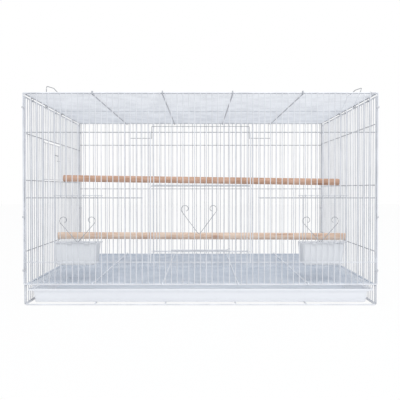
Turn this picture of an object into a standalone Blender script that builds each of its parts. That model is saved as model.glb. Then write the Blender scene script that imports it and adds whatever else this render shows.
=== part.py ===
"""A wire parrot breeding cage, piece by piece, in metres, with +Z up.

The origin lies under the middle of the base frame, on the plane that the cage stands on. The front
faces -Y. Every panel is drawn in a frame of its own: x along the panel, z up the panel, and -y out
of the cage, so that one set of depths serves the front, the sides, the back, the top and the floor.
"""

import math

import bmesh
import bpy
from mathutils import Matrix, Vector
from mathutils.geometry import intersect_line_plane

# The cage over its border wires
cage_width = 0.762
cage_depth = 0.457
wall_height = 0.457
panel_gap = 0.0004
corner_gap = 0.0018

# Wires of the panels
pitch = 0.0125
bar_radius = 0.00095
border_side = 0.003
surround_radius = 0.0012
carrier_radius = 0.0011
end_lap = 0.0012
end_seat = 0.0008
bar_out = 0.0005
pass_gap = 0.0002
weld_bite = 0.00035
bar_margin = 0.0018

# Heights of the cross wires, to their middles
front_bottom = 0.0435
front_lower_rail = 0.0926
front_upper_rail = 0.3715
left_rails = (0.115, 0.269, 0.370)
right_rails = (0.115, 0.2585, 0.390)
back_rails = (0.250, 0.387)
side_carrier_height = 0.041
side_top_drop = 0.008

# Openings, counted in bars from the middle of the panel
centre_bars = (-7, 7)
centre_sill = 0.115
centre_lintel = 0.2565
surround_half_width = 0.107
feeder_bars_from_end = (12, 6)
feeder_sill = 0.135
feeder_lintel = 0.231
feeder_lintel_bar = 10
nest_bars = (-2, 7)

# Doors of wire
door_wire_radius = 0.0008
door_gap = 0.0004
hook_tail = 0.0014
centre_door_top = 0.25865
feeder_door_top = 0.236
nest_door_bottom = 0.2735
nest_door_top = 0.364

# Scrolls on the front doors
scroll_radius = 0.0007
scroll_bite = 0.0003
curl_start_radius = 0.0095
curl_end_radius = 0.0045
curl_turn = math.radians(290)
curl_steps = 9
stem_spread = 0.0012
curl_half_spacing = 0.029
centre_stem_foot = 0.154
centre_curl_height = 0.2075
feeder_stem_foot = 0.1372
centre_scroll_shift = -0.003
feeder_scroll_shifts = (0, -0.006)
feeder_curl_height = 0.183
lift_bar_radius = 0.0012
lift_bar_length = 0.123
lift_bar_height = 0.1196
lift_bar_bend = 0.006

# Catch above the centre door
catch_radius = 0.0007
catch_height = 0.3587
catch_rise = 0.0248
catch_foot_length = 0.046
catch_half_width = 0.1041
catch_corner = 0.004

# Hook of the nest door
nest_hook_radius = 0.0006
nest_hook_gap = 0.0003
nest_hook_height = 0.338
nest_hook_drop = 0.0135
nest_hook_reach = 0.0085
nest_hook_bend = -0.01875
nest_hook_end = -0.04375
nest_hook_tip = 0.0025

# Top panel and floor grille
stiffener_radius = 0.0013
stiffener_hook_gap = 0.0003
hook_drop = 0.0015
hook_rise_run = 0.0013
roof_wire_shift = -0.004
floor_top = 0.0465

# Base frame and its clips
base_wire_side = 0.003

# Clips round two wires
clip_thickness = 0.001
clip_gap = 0.0003
corner_clip_height = 0.004
corner_clip_low_places = (0.075, 0.190)
corner_clip_top_drop = 0.032
top_clip_width = 0.003
top_clip_bars = (-14, -1, 12)
base_clip_width = 0.006
base_clip_side_bars = (-12, 11)
base_clip_back_bars = (-16, 15)
base_clip_foot = 0.0005
sleeve_width = 0.0092

# Handles
handle_radius = 0.0011
handle_eye_radius = 0.0036
handle_eye_open = math.radians(35)
handle_eye_close = math.radians(300)
handle_eye_steps = 7
handle_neck = 0.0055
handle_bars = (-6, 3)
handle_leg = 0.040
handle_corner = 0.010
handle_crown = 0.006
handle_sides = 6
left_handle_lean = math.radians(2)
right_handle_lean = math.radians(24)

# Perches
perch_radius = 0.0092
perch_sides = 20
perch_rest_gap = 0.0003
perch_end_inside_face = 0.0003
perch_slot_gap = 0.0004
upper_perch_bars = (5, 4)
lower_perch_bars = (1, -1)

# Tray
tray_rest_gap = 0.0004
tray_height = 0.0301
tray_side_gap = 0.0055
tray_front_inset = 0.008
tray_lip_height = 0.004
tray_side_lip = 0.0105
tray_front_lip = 0.004
tray_taper = 0.0035
tray_wall = 0.002
tray_back_gap = 0.006
tray_corner = 0.006

# Cups
cup_width = 0.092
cup_shifts = (-0.0085, 0.003)
cup_top_drop = 0.003
cup_depth = 0.050
cup_height = 0.047
cup_draft = 0.004
cup_wall = 0.0018
cup_corner = 0.006
cup_rim = 0.003
cup_hook_width = 0.007
cup_hook_thickness = 0.001
cup_hook_length = 0.0045
cup_hook_bars = 1.5

corner_steps = 4

# Values that follow from the ones above
half_border = border_side / 2
half_width = cage_width / 2
half_depth = cage_depth / 2
front_plane = -(half_depth - half_border)
side_plane = half_width - half_border
end_wall_half = half_depth - border_side - corner_gap
inner_half_depth = half_depth - border_side - panel_gap
inner_half_width = half_width - border_side - panel_gap
side_top = wall_height - side_top_drop + half_border
rail_out = bar_out - 2 * bar_radius - pass_gap
sill_out = rail_out + pass_gap + weld_bite
carrier_out = bar_out - bar_radius - pass_gap - carrier_radius
surround_out = rail_out + bar_radius - weld_bite + surround_radius
bars_outer_face = bar_out + bar_radius
bars_inner_face = bar_out - bar_radius
door_rail_out = bars_outer_face + door_gap + door_wire_radius
door_bar_out = door_rail_out + 2 * door_wire_radius - weld_bite
scroll_out = door_bar_out + door_wire_radius + scroll_radius - scroll_bite
door_rest = bar_radius + door_wire_radius + door_gap
diamond_turn = 0.0
square_turn = math.pi / 4


def clear_scene():
    """Removes every object of the scene that the script starts in."""
    for item in list(bpy.data.objects):
        bpy.data.objects.remove(item)


def at(x, z, out=0.0):
    """A point of a panel: x along it, z up it, out of the cage."""
    return Vector((x, -out, z))


def section(radius, sides=4, turn=diamond_turn):
    """A wire's section as (across, up) offsets; four sides stand on an edge unless turned."""
    step = 2 * math.pi / sides
    return [(radius * math.cos(turn + step * i), radius * math.sin(turn + step * i)) for i in range(sides)]


def square_section(side):
    """The section of a square wire, faces square to the panel."""
    return section(side / math.sqrt(2), turn=square_turn)


def strip_section(thick, wide):
    """The section of a flat strip, thick in the bend and wide across it."""
    return [(thick / 2, wide / 2), (-thick / 2, wide / 2), (-thick / 2, -wide / 2), (thick / 2, -wide / 2)]


def add_wire(mesh, path, outline, facing, closed=False):
    """Sweeps an outline along a path, with every corner cut on the mitre.

    The first offset of the outline is measured along facing, the second square to it.
    """
    count = len(path)
    runs = [(path[(i + 1) % count] - path[i]).normalized() for i in range(count)]
    if not closed:
        runs[-1] = runs[-2]
    before = [runs[i - 1] if closed or i else runs[0] for i in range(count)]
    sideways = runs[0].cross(facing).normalized()
    towards = sideways.cross(runs[0])
    ring = [path[0] + a * towards + b * sideways for a, b in outline]
    rings = []
    for i, corner in enumerate(path):
        along = before[i] if i else runs[0]
        mitre = before[i] + runs[i]
        ring = [intersect_line_plane(point, point + along, corner, mitre) for point in ring]
        rings.append([mesh.verts.new(point) for point in ring])
    pairs = list(zip(rings, rings[1:]))
    if closed:
        pairs.append((rings[-1], rings[0]))
    sides = len(outline)
    for first, second in pairs:
        for i in range(sides):
            j = (i + 1) % sides
            mesh.faces.new((first[i], first[j], second[j], second[i]))
    if not closed:
        mesh.faces.new(list(reversed(rings[0])))
        mesh.faces.new(rings[-1])


def add_bar(mesh, x, low, high, radius=bar_radius, out=bar_out):
    """An upright wire of a panel."""
    add_wire(mesh, [at(x, low, out), at(x, high, out)], section(radius), at(0, 0, 1))


def add_rail(mesh, z, left, right, radius=bar_radius, out=rail_out):
    """A wire along a panel."""
    add_wire(mesh, [at(left, z, out), at(right, z, out)], section(radius), at(0, 0, 1))


def add_border(mesh, half, low, high):
    """The square border wire round a panel, half wide each way from its middle."""
    x = half - half_border
    corners = [at(-x, low + half_border), at(x, low + half_border), at(x, high - half_border), at(-x, high - half_border)]
    add_wire(mesh, corners, square_section(border_side), at(0, 0, 1), closed=True)


def loft(mesh, rings):
    """Joins rings of points, each drawn anticlockwise from above, into one closed body."""
    loops = [[mesh.verts.new(point) for point in ring] for ring in rings]
    for low, high in zip(loops, loops[1:]):
        for i in range(len(low)):
            j = (i + 1) % len(low)
            mesh.faces.new((low[i], low[j], high[j], high[i]))
    mesh.faces.new(list(reversed(loops[0])))
    mesh.faces.new(loops[-1])


def rounded_rectangle(half_x, half_y, z, radius, middle_y=0.0):
    """A ring round a rectangle with round corners, at height z."""
    ring = []
    for quarter, (sx, sy) in enumerate(((1, 1), (-1, 1), (-1, -1), (1, -1))):
        for step in range(corner_steps):
            angle = math.pi / 2 * (quarter + step / (corner_steps - 1))
            x = sx * (half_x - radius) + radius * math.cos(angle)
            y = middle_y + sy * (half_y - radius) + radius * math.sin(angle)
            ring.append(Vector((x, y, z)))
    return ring


def add_box(mesh, low, high):
    """A box between two corners."""
    size = Vector(high) - Vector(low)
    middle = (Vector(high) + Vector(low)) / 2
    bmesh.ops.create_cube(mesh, size=1, matrix=Matrix.Translation(middle) @ Matrix.Diagonal(size).to_4x4())


def whole_bars(half):
    """How many bars stand on each side of a panel's middle bar."""
    return int((half - border_side - bar_margin) / pitch)


def bar_places(half):
    """The middles of a panel's bars, one of them on its middle line."""
    count = whole_bars(half)
    return [pitch * k for k in range(-count, count + 1)]


def between_places(half):
    """The middles of wires that lie half a pitch from the bars."""
    count = int((half - border_side - bar_margin) / pitch + 0.5)
    return [pitch * (k + 0.5) for k in range(-count, count)]


def feeder_bars():
    """The first and last of the bars over a cup, counted in from the wall's last bar."""
    count = whole_bars(half_width)
    return [count - back for back in feeder_bars_from_end]


def beside(k):
    """The middle of the gap past bar k."""
    return pitch * (k + 0.5)


def gap_near(x):
    """The middle of the gap between bars that x falls in."""
    return math.copysign(beside(int(abs(x) / pitch)), x)


def plain_finish(name, colour, roughness, metallic=0.0):
    """A material of its own for one piece."""
    material = bpy.data.materials.new(name)
    material.use_nodes = True
    surface = material.node_tree.nodes["Principled BSDF"]
    surface.inputs["Base Color"].default_value = (*colour, 1)
    surface.inputs["Roughness"].default_value = roughness
    surface.inputs["Metallic"].default_value = metallic
    return material


def white_coat(name):
    """Powder-coated wire."""
    return plain_finish(name, (0.78, 0.80, 0.84), 0.4)


def zinc(name):
    """Galvanised steel."""
    return plain_finish(name, (0.42, 0.45, 0.50), 0.35, 0.8)


def white_plastic(name):
    """Moulded polypropylene."""
    return plain_finish(name, (0.80, 0.83, 0.88), 0.35)


def turned_wood(name):
    """Bare softwood dowel."""
    return plain_finish(name, (0.60, 0.36, 0.19), 0.6)


def place(name, mesh, location=(0, 0, 0), turn=None, material=None):
    """Makes an object of a mesh, at its location and turned."""
    data = bpy.data.meshes.new(name)
    mesh.to_mesh(data)
    mesh.free()
    item = bpy.data.objects.new(name, data)
    bpy.context.collection.objects.link(item)
    item.matrix_world = Matrix.Translation(location) @ (turn or Matrix()).to_4x4()
    if material:
        item.data.materials.append(material)
    return item


def guide(name, mesh, owner):
    """A mesh that only shapes its owner, hidden from renders."""
    item = place(name, mesh)
    item.matrix_world = owner.matrix_world
    item.hide_render = True
    item.display_type = "WIRE"
    return item


def combine(owner, mesh, suffix, operation="UNION"):
    """Adds a mesh in the owner's frame to it, or takes it away, with a Boolean."""
    step = owner.modifiers.new(suffix, "BOOLEAN")
    step.operation = operation
    step.solver = "EXACT"
    step.object = guide(f"{owner.name}_{suffix}", mesh, owner)


def face_front():
    return Matrix()


def face_back():
    return Matrix.Rotation(math.pi, 3, "Z")


def face_left():
    return Matrix.Rotation(-math.pi / 2, 3, "Z")


def face_right():
    return Matrix.Rotation(math.pi / 2, 3, "Z")


def face_up():
    """Lays a panel flat: its own z runs along +X and its outside faces up."""
    return Matrix(((0, 0, 1), (-1, 0, 0), (0, -1, 0)))


def bars_with_openings(half, low, high, openings):
    """The bars of a panel, broken at each opening: (first bar, last bar, sill, lintel)."""
    mesh = bmesh.new()
    for x in bar_places(half):
        k = round(x / pitch)
        ends = [low + border_side - end_seat, high - border_side + end_seat]
        for first, last, sill, lintel in openings:
            if first <= k <= last:
                ends[1:1] = [sill + end_lap, lintel - end_lap]
        for bottom, top in zip(ends[::2], ends[1::2]):
            add_bar(mesh, x, bottom, top)
    return mesh


def full_rails(mesh, half, heights):
    """Cross wires that run from border to border."""
    reach = half - border_side + end_seat
    for z in heights:
        add_rail(mesh, z, -reach, reach)


def add_carrier(mesh, half, z):
    """The heavier cross wire that the floor grille lies beside."""
    reach = half - border_side + end_seat
    add_rail(mesh, z, -reach, reach, carrier_radius, carrier_out)


def panel(name, half, low, high, location, turn):
    """A panel's border wire, placed."""
    mesh = bmesh.new()
    add_border(mesh, half, low, high)
    return place(name, mesh, location, turn, white_coat(name))


def front_panel():
    """The front wall, with a doorway in the middle and one over each cup."""
    item = panel("front_panel", half_width, front_bottom, wall_height, (0, front_plane, 0), face_front())
    first, last = feeder_bars()
    openings = [
        (*centre_bars, centre_sill, centre_lintel),
        (first, last, feeder_sill, feeder_lintel),
        (-last, -first, feeder_sill, feeder_lintel),
    ]
    combine(item, bars_with_openings(half_width, front_bottom, wall_height, openings), "bars")

    rails = bmesh.new()
    full_rails(rails, half_width, (front_lower_rail, front_upper_rail))
    surround_reach = surround_half_width + end_lap
    for z in (centre_sill, centre_lintel):
        add_rail(rails, z, -surround_reach, surround_reach, out=sill_out)
    for side in (-1, 1):
        ends = sorted((side * (pitch * feeder_lintel_bar - end_lap), side * (half_width - border_side + end_seat)))
        add_rail(rails, feeder_lintel, *ends, out=sill_out)
        ends = sorted((side * (pitch * (first - 1) - end_lap), side * (pitch * (last + 1) + end_lap)))
        add_rail(rails, feeder_sill, *ends, out=sill_out)
    combine(item, rails, "rails")

    legs = bmesh.new()
    for side in (-1, 1):
        low, high = front_lower_rail - end_lap, front_upper_rail + end_lap
        add_bar(legs, side * surround_half_width, low, high, surround_radius, surround_out)
    combine(item, legs, "surround_legs")


def back_panel():
    """The back wall, down to the standing plane."""
    item = panel("back_panel", half_width, 0, wall_height, (0, -front_plane, 0), face_back())
    combine(item, bars_with_openings(half_width, 0, wall_height, []), "bars")
    rails = bmesh.new()
    full_rails(rails, half_width, back_rails)
    add_carrier(rails, half_width, floor_top - half_border)
    combine(item, rails, "rails")


def side_panel(name, side, turn, heights, openings):
    """An end wall. The rails at an opening's sill and lintel carry the cut bars."""
    item = panel(name, end_wall_half, 0, side_top, (side * side_plane, 0, 0), turn)
    combine(item, bars_with_openings(end_wall_half, 0, side_top, openings), "bars")
    edges = {z for opening in openings for z in opening[2:]}
    rails = bmesh.new()
    full_rails(rails, end_wall_half, [z for z in heights if z not in edges])
    reach = end_wall_half - border_side + end_seat
    for z in sorted(edges):
        add_rail(rails, z, -reach, reach, out=sill_out)
    add_carrier(rails, end_wall_half, side_carrier_height)
    combine(item, rails, "rails")


def side_panels():
    """The left wall with the doorway for a nest box, and the right wall."""
    nest = (*nest_bars, left_rails[1], left_rails[2])
    side_panel("left_side_panel", -1, face_left(), left_rails, [nest])
    side_panel("right_side_panel", 1, face_right(), right_rails, [])


def stiffener(mesh, z, reach, hook_x):
    """A wire over a grille, rising at each end to hook over the wall's wire at hook_x."""
    low = -bar_out + bar_radius + pass_gap + stiffener_radius
    high = half_border + stiffener_hook_gap + stiffener_radius
    rise_foot = reach - half_border - hook_rise_run / 2
    rise_head = rise_foot + hook_rise_run
    half_path = [(rise_foot, low), (rise_head, high), (hook_x, high), (hook_x, high - hook_drop - stiffener_radius)]
    path = [at(-x, z, out) for x, out in reversed(half_path)] + [at(x, z, out) for x, out in half_path]
    add_wire(mesh, path, section(stiffener_radius), Vector((-1, 0, 0)))


def wrapped_wire(mesh, z):
    """A wire under the roof, its ends bent up round the walls' top wires and welded onto the roof's border."""
    off = half_border + stiffener_hook_gap + stiffener_radius
    wrap_x = half_depth + stiffener_hook_gap + stiffener_radius
    end_x = inner_half_depth - half_border
    half_path = [(wrap_x, -off), (wrap_x, off), (end_x, off), (end_x, half_border - weld_bite)]
    path = [at(-x, z, out) for x, out in reversed(half_path)] + [at(x, z, out) for x, out in half_path]
    add_wire(mesh, path, section(stiffener_radius), Vector((-1, 0, 0)))


def flat_grille(name, half_across, half_along, top, heavy_wires):
    """A panel that lies flat: close wires along X inside a border, and the heavier wires that hook it up."""
    border = bmesh.new()
    add_border(border, half_across, -half_along, half_along)
    item = place(name, border, (0, 0, top - half_border), face_up(), white_coat(name))

    bars = bmesh.new()
    reach = half_along - border_side + end_seat
    for x in between_places(half_across):
        add_bar(bars, x, -reach, reach, out=-bar_out)
    add_bar(bars, 0, -reach, reach, surround_radius, -bar_out + bar_radius - surround_radius)
    combine(item, bars, "bars")

    combine(item, heavy_wires, "heavy_wires")


def fifths():
    """Where the depth wires lie, a fifth of the width apart."""
    return [cage_width * part / 10 for part in (-3, -1, 1, 3)]


def top_panel():
    """The roof, between the front and back walls and over the end walls, on wires that cross under it."""
    wires = bmesh.new()
    for x in fifths():
        wrapped_wire(wires, gap_near(x + roof_wire_shift))
    flat_grille("top_panel", inner_half_depth, half_width, wall_height, wires)


def floor_grille():
    """The grille over the tray, hooked over the front wall's bottom wire and the back wall's carrier."""
    half_along = side_plane + carrier_out - carrier_radius - panel_gap
    half_across = half_depth - half_border + carrier_out - carrier_radius - panel_gap
    reach = half_depth + stiffener_hook_gap + stiffener_radius
    wires = bmesh.new()
    for x in fifths():
        stiffener(wires, gap_near(x), half_across, reach)
    flat_grille("floor_grille", half_across, half_along, floor_top, wires)


def base_frame():
    """Square wires that stand on the ground and carry the tray, halved into each other."""
    half = base_wire_side / 2
    outer_x = inner_half_width
    uprights = [(-outer_x, -outer_x + base_wire_side), (outer_x - base_wire_side, outer_x)]
    uprights += [(x - half, x + half) for x in fifths()]
    crossings = [(-half_depth, -half_depth + base_wire_side), (-half, half)]
    crossings += [(inner_half_depth - base_wire_side, inner_half_depth)]
    xs = sorted(value for strip in uprights for value in strip)
    ys = sorted(value for strip in crossings for value in strip)
    mesh = bmesh.new()
    points = {(x, y): mesh.verts.new((x, y, 0)) for x in xs for y in ys}
    for x, next_x in zip(xs, xs[1:]):
        for y, next_y in zip(ys, ys[1:]):
            if (x, next_x) in uprights or (y, next_y) in crossings:
                mesh.faces.new((points[x, y], points[x, next_y], points[next_x, next_y], points[next_x, y]))
    bmesh.ops.delete(mesh, geom=[v for v in mesh.verts if not v.link_faces], context="VERTS")
    grown = bmesh.ops.extrude_face_region(mesh, geom=mesh.faces[:])
    raised = [v for v in grown["geom"] if isinstance(v, bmesh.types.BMVert)]
    bmesh.ops.translate(mesh, verts=raised, vec=(0, 0, base_wire_side))
    bmesh.ops.recalc_face_normals(mesh, faces=mesh.faces[:])
    place("base_frame", mesh, material=white_coat("base_frame"))


def door_rail(mesh, z, left, right, left_bar, right_bar):
    """A door's cross wire, its ends hooked round the panel's bars that guide it.

    A bar of None leaves that end straight.
    """
    side_run = bar_radius + door_gap + door_wire_radius
    behind = bars_inner_face - door_gap - door_wire_radius
    path = []
    if left_bar is not None:
        path += [at(left_bar + hook_tail, z, behind), at(left_bar - side_run, z, behind)]
        path += [at(left_bar - side_run, z, door_rail_out)]
    else:
        path += [at(left, z, door_rail_out)]
    if right_bar is not None:
        path += [at(right_bar + side_run, z, door_rail_out), at(right_bar + side_run, z, behind)]
        path += [at(right_bar - hook_tail, z, behind)]
    else:
        path += [at(right, z, door_rail_out)]
    add_wire(mesh, path, section(door_wire_radius), at(0, 1) if left_bar is not None else at(0, 0, 1))


def scroll_path(side, foot, curl_height):
    """A stem that rises outwards and runs into a curl turning in over its top.

    The stem is the tangent from its foot to the curl, and the curl's radius shrinks steadily.
    """
    start = Vector((stem_spread, foot))
    middle = Vector((curl_half_spacing, curl_height))
    to_middle = middle - start
    heading = math.atan2(to_middle.y, to_middle.x) - math.asin(curl_start_radius / to_middle.length)
    points = [start]
    for step in range(curl_steps + 1):
        share = step / curl_steps
        angle = heading - math.pi / 2 + curl_turn * share
        radius = curl_start_radius + (curl_end_radius - curl_start_radius) * share
        points.append(middle + radius * Vector((math.cos(angle), math.sin(angle))))
    return [(side * point.x, point.y) for point in points]


def wire_door(name, bars, bottom, top, origin, turn, hooks=(True, True)):
    """A door of upright wires on two cross wires, drawn round the joint's origin.

    Bars counts the upright wires by the panel's own bars, and one more stands at each edge.
    """
    first, last = bars
    left_bar, right_bar = pitch * (first - 1), pitch * (last + 1)
    edges = (pitch * (first - 0.5), pitch * (last + 0.5))
    mesh = bmesh.new()
    for z in (bottom, top):
        guides = [bar if hooked else None for bar, hooked in zip((left_bar, right_bar), hooks)]
        door_rail(mesh, z, edges[0] - end_lap, edges[1] + end_lap, *guides)
    bmesh.ops.translate(mesh, verts=mesh.verts[:], vec=-at(*origin))
    world = turn["location"] + turn["turn"] @ at(*origin)
    item = place(name, mesh, world, turn["turn"], white_coat(name))

    uprights = bmesh.new()
    for x in [pitch * k for k in range(first, last + 1)] + list(edges):
        add_bar(uprights, x, bottom - end_lap, top + end_lap, door_wire_radius, door_bar_out)
    bmesh.ops.translate(uprights, verts=uprights.verts[:], vec=-at(*origin))
    combine(item, uprights, "bars")
    return item


def add_scrolls(item, middle, foot, curl_height, origin):
    """Two mirrored scrolls on the outside of a door."""
    for side, word in ((-1, "left_scroll"), (1, "right_scroll")):
        mesh = bmesh.new()
        path = [at(middle + x, z, scroll_out) for x, z in scroll_path(side, foot, curl_height)]
        add_wire(mesh, path, section(scroll_radius), at(0, 0, 1))
        bmesh.ops.translate(mesh, verts=mesh.verts[:], vec=-at(*origin))
        combine(item, mesh, word)


def centre_door():
    """The large front door, which slides up on the bars beside it, with a bar to lift it by."""
    bottom = centre_sill + door_rest
    origin = (0, bottom, door_rail_out)
    item = wire_door("centre_door", centre_bars, bottom, centre_door_top, origin, front_frame())
    add_scrolls(item, centre_scroll_shift, centre_stem_foot, centre_curl_height, origin)
    mesh = bmesh.new()
    out = door_bar_out + door_wire_radius + lift_bar_radius - weld_bite
    half = lift_bar_length / 2
    path = [at(-half, lift_bar_height, out), at(half - lift_bar_bend, lift_bar_height, out)]
    path += [at(half, lift_bar_height + lift_bar_bend / 2, out)]
    add_wire(mesh, path, section(lift_bar_radius), at(0, 0, 1))
    bmesh.ops.translate(mesh, verts=mesh.verts[:], vec=-at(*origin))
    combine(item, mesh, "lift_bar")


def feeder_doors():
    """The small front doors over the cups, which slide up on the bars beside them."""
    first, last = feeder_bars()
    bottom = feeder_sill + door_rest
    middle = pitch * (first + last) / 2
    doors = (("left_feeder_door", (-last, -first), -1), ("right_feeder_door", (first, last), 1))
    for (name, bars, side), shift in zip(doors, feeder_scroll_shifts):
        origin = (side * middle, bottom, door_rail_out)
        item = wire_door(name, bars, bottom, feeder_door_top, origin, front_frame())
        add_scrolls(item, side * middle + shift, feeder_stem_foot, feeder_curl_height, origin)


def front_frame():
    return {"location": Vector((0, front_plane, 0)), "turn": face_front()}


def left_frame():
    return {"location": Vector((-side_plane, 0, 0)), "turn": face_left()}


def nest_hinge_bar():
    """The bar that the nest door turns on, in the left panel's own frame."""
    return pitch * (nest_bars[1] + 1)


def nest_door():
    """The door in the left wall. It swings out about the bar at its front edge."""
    middle = (nest_door_bottom + nest_door_top) / 2
    origin = (nest_hinge_bar(), middle, bar_out)
    wire_door("nest_door", nest_bars, nest_door_bottom, nest_door_top, origin, left_frame(), (False, True))


def nest_door_hook():
    """A bent wire that hangs on the nest door's bars and snaps over the fixed bar beside them."""
    inside = door_bar_out - door_wire_radius - nest_hook_gap - nest_hook_radius
    outside = door_bar_out + door_wire_radius + nest_hook_gap + nest_hook_radius
    low = nest_hook_height - nest_hook_drop
    path = [at(nest_hook_reach, nest_hook_height, inside), at(nest_hook_bend, nest_hook_height, inside)]
    path += [at(nest_hook_bend, nest_hook_height, outside), at(nest_hook_bend, low, outside)]
    path += [at(nest_hook_end, low, outside), at(nest_hook_end, low, outside - nest_hook_tip)]
    origin = at(0, nest_hook_height, inside)
    mesh = bmesh.new()
    add_wire(mesh, [point - origin for point in path], section(nest_hook_radius), at(0, 0, 1))
    frame = left_frame()
    place("nest_door_hook", mesh, frame["location"] + frame["turn"] @ origin, frame["turn"], zinc("nest_door_hook"))


def door_catch():
    """The bail over the centre door. Its feet lie behind the bars, and it swings out about them."""
    behind = bars_inner_face - door_gap - catch_radius
    ahead = bars_outer_face + door_gap + catch_radius
    x, top, cut = catch_half_width, catch_height + catch_rise, catch_corner
    half_path = [(cut, top, ahead), (x - cut, top, ahead), (x, top - cut, ahead), (x, catch_height, ahead)]
    half_path += [(x, catch_height, behind), (x + catch_foot_length, catch_height, behind)]
    half_path = half_path[1:]
    path = [at(-a, z, out) for a, z, out in reversed(half_path)] + [at(*point) for point in half_path]
    origin = at(0, catch_height, behind)
    mesh = bmesh.new()
    add_wire(mesh, [point - origin for point in path], section(catch_radius), at(0, 0, 1))
    place("door_catch", mesh, origin + Vector((0, front_plane, 0)), face_front(), white_coat("door_catch"))


def tray():
    """The pull-out tray: a thin-walled box with drafted sides and a lip."""
    bottom = base_wire_side + tray_rest_gap
    top = bottom + tray_height
    under_lip = top - tray_lip_height
    front = tray_front_inset - half_depth
    back = half_depth - border_side - tray_back_gap
    middle, lip_y = (front + back) / 2, (back - front) / 2
    lip_x = half_width - tray_side_gap

    def ring(inset, z, lips=1):
        side, end = inset + lips * tray_side_lip, inset + lips * tray_front_lip
        return rounded_rectangle(lip_x - side, lip_y - end, z, tray_corner, middle)

    rings = [ring(tray_taper, bottom), ring(0, under_lip), ring(0, under_lip, 0), ring(0, top, 0)]
    rings += [ring(tray_wall, top), ring(tray_taper + tray_wall, bottom + tray_wall)]
    mesh = bmesh.new()
    loft(mesh, [[point - Vector((0, front, bottom)) for point in loop] for loop in rings])
    place("tray", mesh, (0, front, bottom), material=white_plastic("tray"))


def cup(name, side, shift):
    """A seed cup behind a feeder door, with two hooks over the doorway's sill.

    Its body is set a little to the left or right of the middle between its hooks.
    """
    middle_x = side * pitch * sum(feeder_bars()) / 2
    face = front_plane - rail_out + bar_radius + panel_gap
    top = feeder_sill - cup_top_drop
    low = top - cup_height

    def ring(inset, z, radius=cup_corner):
        points = rounded_rectangle(cup_width / 2 - inset, cup_depth / 2 - inset, z, radius)
        return [point + Vector((shift, cup_depth / 2, -feeder_sill)) for point in points]

    rings = [ring(cup_draft + cup_wall, low), ring(cup_draft, low + cup_wall), ring(0, top)]
    rings += [ring(cup_wall, top), ring(cup_draft + cup_wall, low + cup_wall)]
    mesh = bmesh.new()
    loft(mesh, rings)
    item = place(name, mesh, (middle_x, face, feeder_sill), material=white_plastic(name))

    hooks = bmesh.new()
    sill_y = front_plane - sill_out
    over = bar_radius + door_gap + cup_hook_thickness / 2
    ahead = sill_y - bar_radius - door_gap - cup_hook_thickness / 2 - face
    for k in (-cup_hook_bars, cup_hook_bars):
        path = [Vector((k * pitch, cup_wall / 2, z)) for z in (-cup_top_drop - cup_rim, over)]
        path += [Vector((k * pitch, ahead, over)), Vector((k * pitch, ahead, over - cup_hook_length))]
        add_wire(hooks, path, strip_section(cup_hook_thickness, cup_hook_width), Vector((0, -1, 0)))
    combine(item, hooks, "hooks")


def perch(name, bars, rails):
    """A dowel across the cage on the end walls' rails, a slot in each end over one of their bars.

    Bars and rails give the bar and the rail's height at its left end, then at its right end.
    """
    bar_x = side_plane + bar_out
    rest = bar_radius + perch_rest_gap + perch_radius
    left = Vector((-bar_x, pitch * bars[0], rails[0] + rest))
    right = Vector((bar_x, pitch * bars[1], rails[1] + rest))
    span = right - left
    reach = span.length / 2 + bar_radius - perch_end_inside_face
    mesh = bmesh.new()
    along = Matrix.Rotation(math.pi / 2, 4, "Y")
    radius = perch_radius
    bmesh.ops.create_cone(mesh, cap_ends=True, segments=perch_sides, radius1=radius, radius2=radius, depth=2 * reach, matrix=along)
    turn = span.to_track_quat("X", "Z").to_matrix()
    item = place(name, mesh, (left + right) / 2, turn, turned_wood(name))
    for face in item.data.polygons:
        face.use_smooth = len(face.vertices) == 4
    slots = bmesh.new()
    half_slot = bar_radius + perch_slot_gap
    for side in (-1, 1):
        near = side * (span.length / 2 - bar_radius - perch_slot_gap)
        far = side * (reach + perch_radius)
        low = (min(near, far), -half_slot, -2 * perch_radius)
        add_box(slots, low, (max(near, far), half_slot, 2 * perch_radius))
    combine(item, slots, "slots", "DIFFERENCE")


def perches():
    """Two dowels set a little askew, the upper one lower at its right end, as that wall's rail is."""
    perch("upper_perch", upper_perch_bars, (left_rails[1], right_rails[1]))
    perch("lower_perch", lower_perch_bars, (left_rails[0], right_rails[0]))


def handle_path():
    """Half of a handle's wire, from the end of its eye to the middle of its crown, as (x, y, z).

    The eye is an arc round the wire that it turns on, and the leg stands over the arc's middle.
    """
    foot_y = pitch * (handle_bars[1] - handle_bars[0]) / 2
    path = []
    for step in range(handle_eye_steps + 1):
        share = step / handle_eye_steps
        angle = handle_eye_close + (handle_eye_open - handle_eye_close) * share
        path.append((-handle_eye_radius * math.sin(angle), foot_y, handle_eye_radius * math.cos(angle)))
    path.append((0, foot_y, handle_neck))
    for step in range(corner_steps):
        angle = math.pi / 2 * step / (corner_steps - 1)
        y = foot_y - handle_corner * (1 - math.cos(angle))
        path.append((0, y, handle_leg + handle_corner * math.sin(angle)))
    path.append((0, 0, handle_leg + handle_corner + handle_crown))
    return path


def handle(name, side, lean):
    """A carrying bail whose eyes turn on the roof's side wire."""
    half_path = handle_path()
    path = [Vector(point) for point in half_path]
    path += [Vector((x, -y, z)) for x, y, z in reversed(half_path[:-1])]
    mesh = bmesh.new()
    add_wire(mesh, path, section(handle_radius, handle_sides), Vector((0, 1, 0)))
    middle_y = pitch * (handle_bars[0] + handle_bars[1]) / 2
    location = (side * side_plane, middle_y, wall_height - half_border)
    turn = Matrix.Rotation(0 if side > 0 else math.pi, 3, "Z") @ Matrix.Rotation(lean, 3, "Y")
    place(name, mesh, location, turn, zinc(name))


def handles():
    handle("left_handle", -1, left_handle_lean)
    handle("right_handle", 1, right_handle_lean)


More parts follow.
